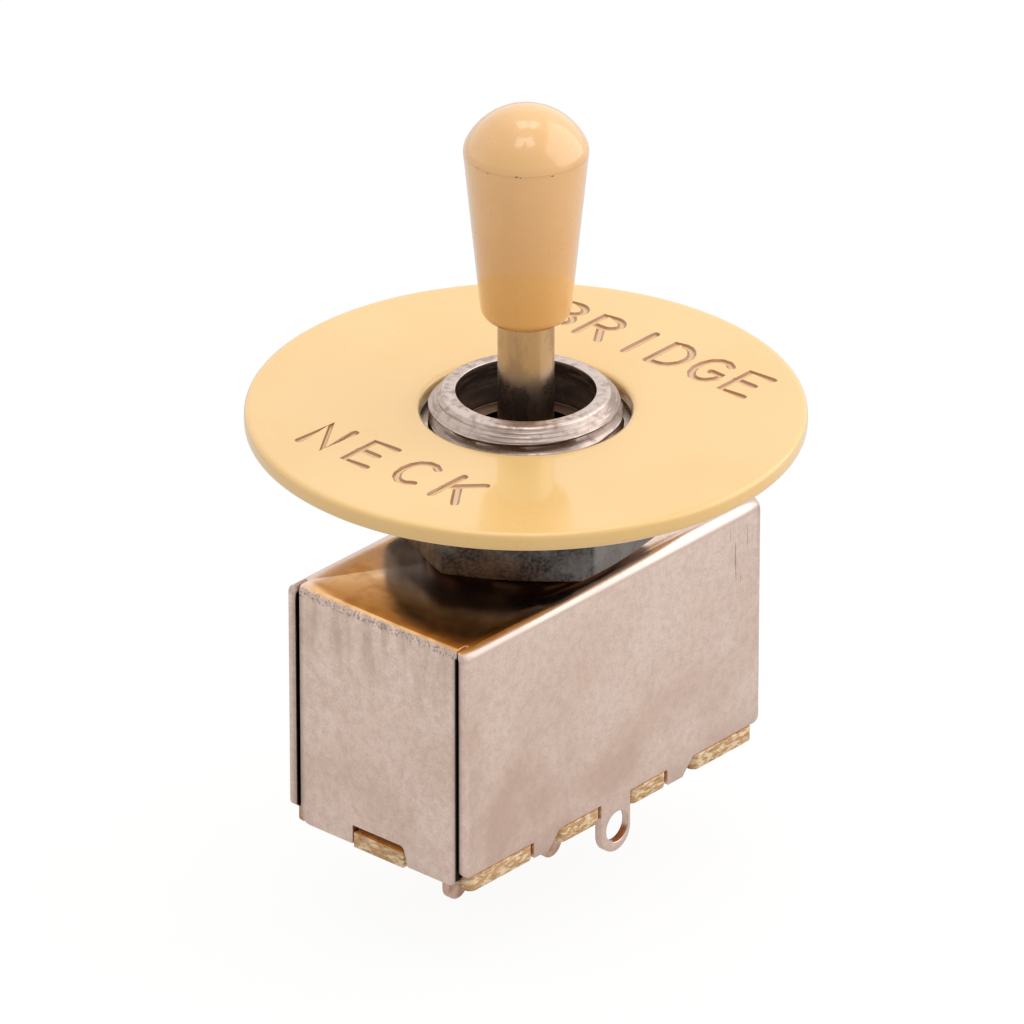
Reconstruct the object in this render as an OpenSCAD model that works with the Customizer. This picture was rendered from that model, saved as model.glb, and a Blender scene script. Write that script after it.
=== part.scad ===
// Three-way pickup selector toggle for an electric guitar.
// A turned lever rocks on a cross pin in a threaded bushing and pushes a moulded slider along the
// folded case. The slider carries a spring clip over the four terminals of a paper-laminate board.
// Z = 0 is the top face of the case, Z runs up the bushing and X is the direction of the throw.

/* [Case] */
// Length of the folded case over its long flaps
case_l = 27.6; // [23:0.1:34]
// Width of the folded case
case_w = 14.5; // [14.1:0.1:18]
// Height of the long flaps, from the case top down to the board
flap_h = 15.6; // [15:0.1:20]
// Thickness of the plated sheet
sheet_t = 0.55; // [0.4:0.05:0.65]
// Outside radius of the bend above each long flap
long_bend_r = 0.7; // [0.4:0.05:0.9]
// Outside radius of the tighter bend above each end flap
end_bend_r = 0.35; // [0.2:0.05:0.5]
// Open gap between an end flap and the long flaps beside it
corner_gap = 0.25; // [0.15:0.05:0.4]
// How far the end flaps lie back from the ends of the long flaps
end_setback = 0.1; // [0.05:0.05:0.3]
// Corner radius at the foot of each long flap
foot_r = 0.45; // [0.2:0.05:1]
// Corner radius at the foot of each end flap
end_foot_r = 0.75; // [0.3:0.05:1]
// Width of the notch at the foot of each end flap
end_notch_w = 4.3; // [3:0.1:6]
// Corner radius of that notch, on its sloping side
end_notch_r = 0.4; // [0.2:0.05:0.8]
// How far the sloping side of that notch leans out
end_notch_lean = 0.25; // [0.05:0.05:0.5]
// Gap left between that notch and the board's tab
end_notch_gap = 0.45; // [0.1:0.05:0.7]
// How far the end flaps stop short of the board's underside
end_short = 0.2; // [0.1:0.05:0.6]

/* [Feet and earth lug] */
// Width of a foot where it leaves the long flap
foot_root_w = 2.4; // [2:0.1:2.8]
// Width of a foot at its end
foot_end_w = 1.4; // [1:0.1:1.8]
// Straight edge of the first foot
foot_1_x = -7.4; // [-8:0.1:-7]
// Straight edge of the second foot
foot_2_x = 5.15; // [4.9:0.05:5.6]
// Width of the earth lug
earth_w = 2.7; // [2.6:0.05:3.4]
// Place of the earth lug along the long flap
earth_x = 0.25; // [0:0.05:0.5]
// Radius of the hole in the earth lug
earth_hole_r = 1.05; // [0.8:0.05:1.1]
// How far the hole was punched to one side of the lug's middle
earth_hole_off = 0.15; // [0:0.01:0.2]
// How far the hole was punched above the middle of the lug's round end
earth_hole_up = 0.3; // [0:0.05:0.5]
// Depth of the middle of the lug's round end below the long flap
earth_drop = 2.35; // [2.1:0.05:4]

/* [Terminal board] */
// Thickness of the laminate
board_t = 1.05; // [0.8:0.05:1.6]
// Clearance of the board inside the case and under the flaps
board_fit = 0.1; // [0.05:0.05:0.2]
// Corner radius of the board's tabs
tab_r = 0.5; // [0.2:0.1:0.6]
// How far the outer tabs stop short of the ends of the case
tab_short = 0.5; // [0.4:0.05:1]

/* [Terminals] */
// Distance of the outer solder lugs from the ends of the case
lug_end = 7.2; // [7:0.1:7.3]
// Width of a solder lug
lug_w = 1.9; // [1.6:0.1:2.2]
// Thickness of a solder lug
lug_t = 0.5; // [0.4:0.05:0.6]
// Length of a solder lug below the board
lug_l = 5.7; // [4:0.1:9]
// How much further the third solder lug reaches down
third_lug_more = 0.7; // [0:0.1:1]
// Radius of the wire hole in a solder lug
lug_hole_r = 0.6; // [0.4:0.05:0.7]
// Clearance of a lug in its slot
lug_fit = 0.05; // [0.02:0.01:0.1]
// Height of the shoulders that stop a lug under the board
shoulder_h = 0.45; // [0.3:0.05:0.8]
// How far each shoulder stands out beside the lug
shoulder_w = 0.45; // [0.3:0.05:0.6]
// Thickness of a contact pad
pad_t = 0.4; // [0.3:0.05:0.5]
// Width of a contact pad across the board
pad_w = 4.4; // [3.6:0.1:5]
// Gap between neighbouring contact pads
pad_gap = 0.6; // [0.4:0.1:0.8]
// Length of an outer contact pad
outer_pad_l = 4.0; // [3.9:0.1:4.4]

/* [Bushing] */
// Outside radius of the bushing's thread
thread_r = 6.0; // [5.5:0.1:6.2]
// Height of the bushing above the case
bushing_h = 10.4; // [9.6:0.1:14]
// Radius of the flat rim on top
rim_r = 5.1; // [4.9:0.05:5.3]
// Radius of the wide bore below the rim
mouth_r = 4.33; // [4.1:0.01:4.6]
// Depth of the wide bore
mouth_h = 2.9; // [2:0.1:4]
// Radius of the bore that the lever's ball sits in
bore_r = 3.35; // [3.3:0.05:3.6]
// Radius of the bushing's neck in the case top
neck_r = 5.5; // [5.2:0.1:5.6]
// Radius of the bushing's flange under the case top
flange_r = 6.4; // [6.2:0.1:6.5]
// Thickness of that flange
flange_t = 1.25; // [0.8:0.05:2]

/* [Nuts, washer and disc] */
// Width of the hexagon nut across its flats
hex_af = 15.0; // [14:0.1:17]
// Height of the hexagon nut
hex_h = 3.8; // [2.5:0.1:4]
// Gap left under the hexagon nut
hex_gap = 1.0; // [0.5:0.1:2]
// Turn of the hexagon nut
hex_turn = 5; // [0:1:59]
// Height of the bevel at the hexagon nut's corners
hex_bevel = 0.3; // [0.1:0.05:0.6]
// Clearance of the nuts on the thread
nut_fit = 0.03; // [0.02:0.01:0.1]
// Outside radius of the toothed washer
washer_r = 8.2; // [7.8:0.1:9]
// Thickness of the toothed washer
washer_t = 0.6; // [0.4:0.1:1]
// Number of teeth inside the washer
washer_teeth = 12; // [8:1:16]
// Outside radius of the round nut under the disc
ring_nut_r = 8.6; // [8:0.1:10]
// Number of grip grooves round the nut
ring_nut_grooves = 48; // [24:4:60]
// Depth of a grip groove
groove_d = 0.3; // [0.1:0.05:0.5]
// Width of the bevel inside the grip grooves
nut_bevel = 0.1; // [0.05:0.05:0.3]
// Radius of the disc
disc_r = 17.3; // [14:0.1:20]
// Thickness of the disc
disc_t = 1.2; // [0.8:0.1:2]
// Radius of the hole in the disc
disc_hole_r = 6.5; // [6.4:0.05:7]
// Rounding of the disc's edges
disc_edge_r = 0.3; // [0.1:0.05:0.35]
// Height of the disc's underside above the case
disc_z = 8.1; // [7.6:0.1:8.4]

/* [Lever] */
// Height of the pivot above the case top
pivot_z = 2.0; // [1:0.1:2.6]
// Swing of the lever each way, in degrees
swing = 12; // [8:1:12]
// Radius of the lever's shaft
shaft_r = 1.75; // [1.5:0.05:1.8]
// Radius of the ball on the lever
ball_r = 3.05; // [2.8:0.05:3.05]
// Radius of the arm below the ball
arm_r = 1.1; // [0.9:0.05:1.15]
// Radius of the ball at the foot of the arm
tip_ball_r = 1.5; // [1.4:0.05:1.6]
// Radius of the cross pin
pin_r = 0.7; // [0.5:0.05:0.9]
// Running clearance of the lever on the cross pin
pin_fit = 0.03; // [0.02:0.01:0.08]
// How far the cross pin stops short of the thread's outside
pin_inset = 0.8; // [0.4:0.1:1]

/* [Knob] */
// Height of the knob's lower face above the case top
knob_z = 15.3; // [14.5:0.1:20]
// Height of the knob's tapered body
knob_body_h = 11.3; // [9:0.1:16]
// Height of the knob's dome
dome_h = 2.86; // [2:0.02:3.4]
// Radius of the knob at its foot
knob_foot_r = 2.82; // [2.6:0.02:3.4]
// Radius of the knob under its dome
knob_top_r = 3.84; // [3.5:0.02:4.6]
// Rounding of the knob's foot
knob_edge_r = 0.9; // [0.3:0.1:1]
// Radius of the shoulder between the taper and the dome
dome_shoulder_r = 1.2; // [0.6:0.1:1.7]
// Radius of the stud that the knob screws on to
stud_r = 1.5; // [1.2:0.05:1.5]
// Length of that stud
stud_l = 7.5; // [5:0.1:8]
// Depth that the shaft reaches into the knob
shaft_seat = 0.8; // [0.4:0.1:2]
// Clearance of the lever in the knob
knob_fit = 0.04; // [0.02:0.01:0.1]

/* [Slider and guide frame] */
// Thickness of the guide frame's end walls
frame_end_wall = 2.0; // [1.8:0.1:2.3]
// Thickness of the guide frame's side walls
frame_side_wall = 1.55; // [1.4:0.05:1.75]
// Width of the rails that the slider's flanges run on
rail_w = 1.05; // [0.85:0.05:1.35]
// Height of the slider's flanges
slider_flange_h = 2.3; // [2.1:0.1:2.6]
// Height of the slider below its flanges
slider_foot_h = 2.4; // [2.2:0.1:2.6]
// Gap at the sides of the slider
side_gap = 0.15; // [0.1:0.05:0.25]
// Gap between the slider's flanges and their rails
rail_gap = 0.1; // [0.05:0.05:0.2]
// Gap left at each end of the slider's travel
end_gap = 0.3; // [0.2:0.1:0.5]
// Clearance each side of the arm's ball in its slot
slot_fit = 0.06; // [0.04:0.01:0.12]
// Depth of the arm's ball below the slider's top
ball_depth = 1.4; // [1.2:0.1:1.6]
// Width of the slot across the slider
slot_w = 3.9; // [3.6:0.1:4.4]
// Floor left under the slot
slot_floor = 1.0; // [0.8:0.1:1.2]
// Height of the guide frame's walls above the slider
frame_over = 1.0; // [0.5:0.1:2]
// Width of the guide frame's corner posts
post_w = 1.6; // [1.2:0.1:2]
// Clearance of the guide frame inside the case
frame_fit = 0.15; // [0.1:0.05:0.2]

/* [Contact clip and click ball] */
// Thickness of the contact clip
clip_t = 0.2; // [0.15:0.05:0.25]
// Width of the contact clip
clip_w = 3.0; // [2.4:0.1:3.6]
// Depth of the clip's contact points
point_h = 0.7; // [0.65:0.05:1]
// Half the length of the slope beside a contact point
point_w = 0.75; // [0.6:0.05:0.9]
// Length of the clip's flat tail beyond its last contact point
tail_l = 0.4; // [0.2:0.05:0.6]
// Gap between the contact points and the pads
contact_gap = 0.05; // [0.03:0.01:0.1]
// Radius of a rivet's shank
rivet_r = 0.4; // [0.3:0.05:0.5]
// Radius of a rivet's head
rivet_head_r = 0.75; // [0.6:0.05:0.8]
// Thickness of a rivet's head
rivet_head_t = 0.3; // [0.2:0.05:0.35]
// Depth of a rivet in the slider
rivet_l = 1.6; // [1:0.1:2]
// Radius of the click ball
click_r = 0.75; // [0.6:0.05:0.8]
// Clearance of the click ball in its bore
click_fit = 0.04; // [0.02:0.01:0.08]
// Distance of the click ball from the end of the slider
click_inset = 3.0; // [1.2:0.1:3.4]
// Depth of the dimples that the click ball drops into
dimple_d = 0.25; // [0.15:0.05:0.3]
// Length of the click ball's bore
click_bore_l = 4.2; // [3.8:0.1:4.3]
// Radius of the click spring's wire
wire_r = 0.12; // [0.08:0.01:0.14]
// Number of turns of the click spring
spring_turns = 5; // [4:1:7]

/* [Hidden] */
$fn = 64;
// Reach of a cut past what it cuts, and of a turned blank past the corners of its nut
over = 1;
trim = 0.15;

// Inside of the case
in_y = case_w / 2 - sheet_t;
end_x = case_l / 2 - end_setback;
in_x = end_x - sheet_t;

// Levels below the case top
board_top = -flap_h - board_fit / 2;
board_bottom = board_top - board_t;
pad_top = board_top + pad_t;
slider_bottom = pad_top + contact_gap + point_h + clip_t;
slider_flange_z = slider_bottom + slider_foot_h;
slider_top = slider_flange_z + slider_flange_h;
tip_z = slider_top - ball_depth;
frame_top = slider_top + frame_over;

// Throw of the slider, from the lever's arm
arm_l = pivot_z - tip_z;
travel = arm_l * sin(swing);

// Slider and its flanges, inside the guide frame
slider_l = 2 * (in_x - frame_fit - frame_end_wall - end_gap - travel);
slider_flange_w = 2 * (in_y - frame_fit - frame_side_wall - side_gap);
slider_w = slider_flange_w - 2 * rail_w;
click_x = slider_l / 2 - click_inset;

// Lugs from one end of the board to the other, and the contact places over them
lug_pitch = (case_l - 2 * lug_end) / 3;
lug_x = [for (i = [-1.5 : 1 : 1.5]) i * lug_pitch];
outer_point_x = lug_x[3];
inner_point_x = (outer_point_x - travel) / 2;
rivet_x = (outer_point_x + inner_point_x) / 2;
split_x = outer_point_x - travel / 2;

// Colours
nickel = [0.78, 0.70, 0.66];
brass = [0.75, 0.68, 0.58];
steel = [0.45, 0.42, 0.40];
cream = [0.98, 0.86, 0.66];
laminate = [0.86, 0.72, 0.52];
copper = [0.80, 0.62, 0.52];
nylon = [0.90, 0.88, 0.82];

// A flat outline in X and Z, drawn out along Y about the middle
module along_y(width) {
    rotate([90, 0, 0]) linear_extrude(width, center = true) children();
}

// A flat outline in Y and Z, drawn out along X about the middle
module along_x(length) {
    rotate([90, 0, 90]) linear_extrude(length, center = true) children();
}

// A flat rectangle with all four corners rounded
module round_plate(l, w, r) {
    square([l - 2 * r, w], center = true);
    square([l, w - 2 * r], center = true);
    for (x = [-1, 1], y = [-1, 1]) translate([x * (l / 2 - r), y * (w / 2 - r)]) circle(r);
}

// A flat strip that hangs below z = 0, with its two lower corners rounded
module hanging_plate(w, h, r) {
    translate([-w / 2, -h + r]) square([w, h - r]);
    translate([-w / 2 + r, -h]) square([w - 2 * r, r]);
    for (x = [-1, 1]) translate([x * (w / 2 - r), -h + r]) circle(r);
}

// Section of the case top and its two long flaps
module long_section() {
    difference() {
        union() {
            translate([-case_w / 2, -flap_h * 2]) square([case_w, flap_h * 2 - long_bend_r]);
            translate([-case_w / 2 + long_bend_r, -long_bend_r])
                square([case_w - 2 * long_bend_r, long_bend_r]);
            for (s = [-1, 1]) translate([s * (case_w / 2 - long_bend_r), -long_bend_r])
                circle(long_bend_r);
        }
        translate([-in_y, -flap_h * 3]) square([in_y * 2, flap_h * 3 - sheet_t]);
    }
}

// One foot: straight on one side, sloping back to the flap on the other
module foot(x) {
    polygon([[x, -flap_h + over], [x, board_bottom], [x + foot_end_w, board_bottom],
             [x + foot_root_w, -flap_h], [x + foot_root_w, -flap_h + over]]);
}

// Outline of a long flap seen from its side; only one of them has the earth lug
module long_flap(with_lug) {
    lug_z = -flap_h - earth_drop;
    hanging_plate(case_l, flap_h, foot_r);
    foot(foot_1_x);
    foot(foot_2_x);
    if (with_lug) {
        translate([earth_x - earth_w / 2, lug_z]) square([earth_w, earth_drop + over]);
        translate([earth_x, lug_z]) circle(earth_w / 2);
    }
}

// Section of an end flap with its bend, at the +X end
module end_section() {
    translate([in_x, -2 * flap_h]) square([sheet_t, 2 * flap_h - end_bend_r]);
    translate([in_x - over, -sheet_t]) square([over + sheet_t - end_bend_r, sheet_t]);
    translate([end_x - end_bend_r, -end_bend_r]) circle(end_bend_r);
}

// Notch at the foot of an end flap: square on one side, sloping with a round corner on the other
module end_notch(h) {
    side = end_notch_w / 2;
    foot = side + end_notch_lean;
    polygon([[-side, h], [-side, -over], [foot, -over], [foot, 0], [side, h - end_notch_r],
             [side - end_notch_r, h - end_notch_r], [side - end_notch_r, h]]);
    translate([side - end_notch_r, h - end_notch_r]) circle(end_notch_r);
}

module case() {
    end_w = 2 * (in_y - corner_gap);
    end_h = -board_bottom - end_short;
    notch_h = end_h + board_top + end_notch_gap;
    color(nickel) difference() {
        union() {
            // Case top and long flaps, cut back at the ends to take the end flaps
            difference() {
                along_x(case_l) long_section();
                for (s = [-1, 1]) translate([s * (in_x - end_bend_r + case_l / 2), 0, 0])
                    cube([case_l, 2 * in_y, 4 * sheet_t], center = true);
            }
            // End flaps
            intersection() {
                for (s = [0, 1]) mirror([s, 0, 0]) along_y(end_w) end_section();
                along_x(case_l) hanging_plate(end_w, end_h, end_foot_r);
            }
        }
        // The outlines of the two long flaps
        for (s = [-1, 1]) translate([0, s * case_w / 2, 0]) difference() {
            translate([0, 0, -flap_h]) cube([case_l + over, 2 * (sheet_t + corner_gap / 2), 3 * flap_h],
                                            center = true);
            along_y(2 * sheet_t + over) {
                long_flap(s < 0);
                translate([-case_l / 2, -flap_h / 2]) square([case_l, flap_h]);
            }
        }
        // Hole in the earth lug, notches for the board's end tabs, and the bushing's hole
        translate([earth_x + earth_hole_off, -case_w / 2, -flap_h - earth_drop + earth_hole_up])
            rotate([90, 0, 0]) cylinder(r = earth_hole_r, h = 4 * sheet_t, center = true);
        translate([0, 0, -end_h]) along_x(case_l + over) mirror([1, 0]) end_notch(notch_h);
        cylinder(r = neck_r, h = 4 * sheet_t, center = true);
    }
}

module bushing() {
    flange_z = -sheet_t - flange_t;
    bevel_h = thread_r - rim_r;
    color(brass) difference() {
        rotate_extrude() polygon([
            [bore_r, flange_z], [flange_r, flange_z], [flange_r, -sheet_t], [neck_r, -sheet_t],
            [neck_r, 0], [thread_r, 0], [thread_r, bushing_h - bevel_h], [rim_r, bushing_h],
            [mouth_r, bushing_h], [mouth_r, bushing_h - mouth_h], [bore_r, bushing_h - mouth_h]]);
        translate([0, 0, pivot_z]) rotate([90, 0, 0])
            cylinder(r = pin_r, h = 3 * thread_r, center = true);
    }
}

module pivot_pin() {
    color(steel) translate([0, 0, pivot_z]) rotate([90, 0, 0])
        cylinder(r = pin_r, h = 2 * (thread_r - pin_inset), center = true);
}

module lever() {
    shaft_top = knob_z + shaft_seat;
    color(steel) difference() {
        union() {
            translate([0, 0, pivot_z]) cylinder(r = shaft_r, h = shaft_top - pivot_z);
            translate([0, 0, shaft_top]) cylinder(r = stud_r, h = stud_l);
            translate([0, 0, pivot_z]) sphere(ball_r);
            translate([0, 0, tip_z]) cylinder(r = arm_r, h = arm_l);
            translate([0, 0, tip_z]) sphere(tip_ball_r);
        }
        translate([0, 0, pivot_z]) rotate([90, 0, 0])
            cylinder(r = pin_r + pin_fit, h = 3 * ball_r, center = true);
    }
}

// Points along an arc, with its angles measured up from the X axis
function arc(cx, cz, r, from, to, steps) =
    [for (i = [0 : steps]) let (a = from + (to - from) * i / steps) [cx + r * cos(a), cz + r * sin(a)]];

// Half section of the knob: rounded foot, taper, shoulder and dome that run into each other
module knob_section() {
    shoulder_z = knob_z + knob_body_h;
    shoulder_x = knob_top_r - dome_shoulder_r;
    dome_r = (pow(shoulder_x, 2) + pow(dome_h, 2) - pow(dome_shoulder_r, 2))
             / (2 * (dome_h - dome_shoulder_r));
    dome_z = shoulder_z + dome_h - dome_r;
    meet = atan2(shoulder_z - dome_z, shoulder_x);
    lean = atan2(knob_top_r - knob_foot_r, knob_body_h);
    foot_x = knob_foot_r - knob_edge_r;
    polygon(concat([[0, knob_z]],
                   arc(foot_x, knob_z + knob_edge_r, knob_edge_r, -90, -lean, 8),
                   arc(shoulder_x, shoulder_z, dome_shoulder_r, -lean, meet, 8),
                   [for (i = [1 : 12]) let (a = meet + (90 - meet) * i / 12)
                       [dome_r * cos(a) * (i < 12 ? 1 : 0), dome_z + dome_r * sin(a)]]));
}

module knob() {
    bore_top = knob_z + shaft_seat + stud_l + 2 * knob_fit;
    color(cream) difference() {
        rotate_extrude() knob_section();
        translate([0, 0, knob_z - over])
            cylinder(r = shaft_r + knob_fit, h = shaft_seat + knob_fit + over);
        translate([0, 0, knob_z]) cylinder(r = stud_r + knob_fit, h = bore_top - knob_z);
    }
}

// Cylinder with both its edges bevelled to a width and a height, to trim a nut's corners
module bevelled(r, h, bevel_w, bevel_h) {
    rotate_extrude() polygon([[0, 0], [r - bevel_w, 0], [r, bevel_h], [r, h - bevel_h],
                              [r - bevel_w, h], [0, h]]);
}

module hex_nut() {
    corner_r = hex_af / 2 / cos(30);
    turned_r = corner_r + trim;
    bevel_w = turned_r - hex_af / 2 + trim;
    color(steel) translate([0, 0, hex_gap]) rotate([0, 0, hex_turn]) difference() {
        intersection() {
            cylinder(r = corner_r, h = hex_h, $fn = 6);
            bevelled(turned_r, hex_h, bevel_w, hex_bevel);
        }
        cylinder(r = thread_r + nut_fit, h = 3 * hex_h, center = true);
    }
}

module lock_washer() {
    root_r = (thread_r + washer_r) / 2;
    tooth_w = 2 * root_r * sin(180 / washer_teeth) * 0.5;
    color(steel) translate([0, 0, hex_gap + hex_h]) linear_extrude(washer_t) difference() {
        circle(washer_r);
        difference() {
            circle(root_r);
            for (i = [0 : washer_teeth - 1]) rotate(i * 360 / washer_teeth)
                translate([thread_r + nut_fit, -tooth_w / 2]) square([washer_r - thread_r, tooth_w]);
        }
        circle(thread_r + nut_fit);
    }
}

module ring_nut() {
    nut_z = hex_gap + hex_h + washer_t;
    nut_h = disc_z - nut_z;
    turned_r = ring_nut_r + trim;
    bevel_w = turned_r - ring_nut_r + groove_d + nut_bevel;
    step = 180 / ring_nut_grooves;
    color(nickel) translate([0, 0, nut_z]) difference() {
        intersection() {
            linear_extrude(nut_h) polygon([for (i = [0 : 2 * ring_nut_grooves - 1])
                let (r = ring_nut_r - (i % 2) * groove_d) [r * cos(i * step), r * sin(i * step)]]);
            bevelled(turned_r, nut_h, bevel_w, groove_d);
        }
        cylinder(r = thread_r + nut_fit, h = 3 * nut_h, center = true);
    }
}

module disc() {
    color(cream) translate([0, 0, disc_z]) rotate_extrude($fn = 96) {
        translate([disc_hole_r + disc_edge_r, 0])
            square([disc_r - disc_hole_r - 2 * disc_edge_r, disc_t]);
        translate([disc_hole_r, disc_edge_r])
            square([disc_r - disc_hole_r, disc_t - 2 * disc_edge_r]);
        for (x = [disc_hole_r + disc_edge_r, disc_r - disc_edge_r], z = [disc_edge_r, disc_t - disc_edge_r])
            translate([x, z]) circle(disc_edge_r, $fn = 32);
    }
}

// Outline of the laminate: a plate inside the flaps, with tabs that show between the feet
module board_outline() {
    plate_w = 2 * (in_y - board_fit);
    lug_gap = earth_w / 2 + board_fit / 2;
    tab_end = case_l / 2 - tab_short;
    tabs = [[-tab_end, foot_1_x - board_fit / 2],
            [foot_1_x + foot_root_w + board_fit / 2, earth_x - lug_gap],
            [earth_x + lug_gap, foot_2_x - board_fit / 2],
            [foot_2_x + foot_root_w + board_fit / 2, tab_end]];
    square([2 * (in_x - board_fit), plate_w], center = true);
    square([2 * end_x, end_notch_w - 2 * board_fit], center = true);
    difference() {
        for (tab = tabs) translate([(tab[0] + tab[1]) / 2, 0])
            round_plate(tab[1] - tab[0], case_w, tab_r);
        for (s = [-1, 1]) translate([s * (in_x - board_fit + over), 0])
            square([2 * over, 2 * (in_y - corner_gap + board_fit)], center = true);
    }
}

module terminal_board() {
    color(laminate) translate([0, 0, board_bottom]) linear_extrude(board_t) difference() {
        board_outline();
        for (x = lug_x) translate([x, 0])
            square([lug_w + 2 * lug_fit, lug_t + 2 * lug_fit], center = true);
    }
}

// A stamped terminal: contact pad on the board, shank through it, shoulders and solder lug below
module terminal(i) {
    side = i < 2 ? -1 : 1;
    outer = i == 0 || i == 3;
    pad_near = outer ? split_x + pad_gap / 2 : pad_gap / 2;
    pad_far = outer ? split_x + pad_gap / 2 + outer_pad_l : split_x - pad_gap / 2;
    reach = i == 2 ? lug_l + third_lug_more : lug_l;
    color(copper) {
        translate([side * (pad_near + pad_far) / 2, 0, board_top + pad_t / 2])
            cube([pad_far - pad_near, pad_w, pad_t], center = true);
        translate([lug_x[i], 0, 0]) along_y(lug_t) difference() {
            union() {
                translate([-lug_w / 2, board_bottom - reach + lug_w / 2])
                    square([lug_w, reach - lug_w / 2 + board_t + pad_t / 2]);
                translate([0, board_bottom - reach + lug_w / 2]) circle(lug_w / 2);
                translate([-lug_w / 2 - shoulder_w, board_bottom - shoulder_h])
                    square([lug_w + 2 * shoulder_w, shoulder_h]);
            }
            translate([0, board_bottom - reach + lug_w]) circle(lug_hole_r);
        }
    }
}

module guide_frame() {
    out_x = in_x - frame_fit;
    out_y = in_y - frame_fit;
    pocket_x = slider_l / 2 + travel + end_gap;
    rail_z = slider_flange_z - rail_gap;
    wall_y = slider_flange_w / 2 + side_gap;
    post_h = -sheet_t - frame_top;
    color(nylon) difference() {
        union() {
            translate([-out_x, -out_y, board_top]) cube([2 * out_x, 2 * out_y, frame_top - board_top]);
            for (x = [-out_x, out_x - post_w], y = [-out_y, out_y - post_w])
                translate([x, y, frame_top - over]) cube([post_w, post_w, post_h + over]);
        }
        // Deep pocket for the clip and the slider's foot, wider above the rails
        translate([-pocket_x, -slider_w / 2 - side_gap, board_top - over])
            cube([2 * pocket_x, slider_w + 2 * side_gap, 2 * flap_h]);
        translate([-pocket_x, -wall_y, rail_z]) cube([2 * pocket_x, 2 * wall_y, 2 * flap_h]);
        // Dimples for the three places of the lever
        for (i = [-1 : 1])
            translate([click_x + i * travel, wall_y - click_r - click_fit + dimple_d,
                       slider_flange_z + slider_flange_h / 2])
                sphere(click_r + click_fit);
    }
}

module slider() {
    slot_l = 2 * (tip_ball_r + slot_fit);
    color(nylon) difference() {
        union() {
            translate([-slider_l / 2, -slider_w / 2, slider_bottom])
                cube([slider_l, slider_w, slider_top - slider_bottom]);
            translate([-slider_l / 2, -slider_flange_w / 2, slider_flange_z])
                cube([slider_l, slider_flange_w, slider_flange_h]);
        }
        translate([-slot_l / 2, -slot_w / 2, slider_bottom + slot_floor]) cube([slot_l, slot_w, 2 * flap_h]);
        translate([click_x, slider_flange_w / 2 - click_bore_l, slider_flange_z + slider_flange_h / 2])
            rotate([-90, 0, 0]) cylinder(r = click_r + click_fit, h = click_bore_l + over);
        for (s = [-1, 1]) translate([s * rivet_x, 0, slider_bottom - over])
            cylinder(r = rivet_r, h = rivet_l + over);
    }
}

// The clip is one strip, bent down to a point over each contact place
module contact_clip() {
    points = [-outer_point_x, -inner_point_x, inner_point_x, outer_point_x];
    tail = outer_point_x + point_w + tail_l;
    flat_z = slider_bottom - clip_t;
    lower = [for (x = points) each [[x - point_w, flat_z], [x, flat_z - point_h], [x + point_w, flat_z]]];
    upper = [for (i = [len(lower) - 1 : -1 : 0]) lower[i] + [0, clip_t]];
    color(copper) difference() {
        along_y(clip_w) polygon(concat([[-tail, flat_z]], lower, [[tail, flat_z], [tail, slider_bottom]],
                                       upper, [[-tail, slider_bottom]]));
        for (s = [-1, 1]) translate([s * rivet_x, 0, flat_z - over])
            cylinder(r = rivet_r, h = clip_t + 2 * over);
    }
}

module clip_rivets() {
    color(copper) for (s = [-1, 1]) translate([s * rivet_x, 0, slider_bottom]) {
        translate([0, 0, -clip_t]) cylinder(r = rivet_r, h = rivet_l + clip_t);
        translate([0, 0, -clip_t - rivet_head_t]) cylinder(r = rivet_head_r, h = rivet_head_t);
    }
}

module click_ball() {
    ball_y = slider_flange_w / 2 + side_gap - contact_gap - click_r;
    color(steel) translate([click_x, ball_y, slider_flange_z + slider_flange_h / 2]) sphere(click_r);
}

// A round wire wound into a spring, standing in the click ball's bore
module click_spring() {
    sides = 6;
    per_turn = 12;
    coil_r = click_r - wire_r - click_fit;
    seat_y = slider_flange_w / 2 - click_bore_l + wire_r;
    ball_y = slider_flange_w / 2 + side_gap - contact_gap - click_r;
    far_y = ball_y - click_r - wire_r / 2;
    steps = spring_turns * per_turn;
    rings = [for (i = [0 : steps]) [for (k = [0 : sides - 1])
        let (a = i * 360 / per_turn, b = k * 360 / sides, r = coil_r + wire_r * cos(b))
            [r * cos(a), seat_y + (far_y - seat_y) * i / steps + wire_r * sin(b), r * sin(a)]]];
    skin = [for (i = [0 : steps - 1], k = [0 : sides - 1])
        [i * sides + k, i * sides + (k + 1) % sides, (i + 1) * sides + (k + 1) % sides, (i + 1) * sides + k]];
    color(steel) translate([click_x, 0, slider_flange_z + slider_flange_h / 2])
        polyhedron([for (ring = rings) each ring],
                   concat([[for (k = [sides - 1 : -1 : 0]) k]], skin,
                          [[for (k = [0 : sides - 1]) steps * sides + k]]));
}

case();
bushing();
pivot_pin();
lever();
knob();
hex_nut();
lock_washer();
ring_nut();
disc();
terminal_board();
terminal(0);  // terminal_1
terminal(1);  // terminal_2
terminal(2);  // terminal_3
terminal(3);  // terminal_4
guide_frame();
slider();
contact_clip();
clip_rivets();
click_ball();
click_spring();
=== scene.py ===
# Three-way pickup selector toggle: the finish of every piece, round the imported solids.
import math

import bmesh
import bpy
from mathutils import Matrix, Vector


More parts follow.
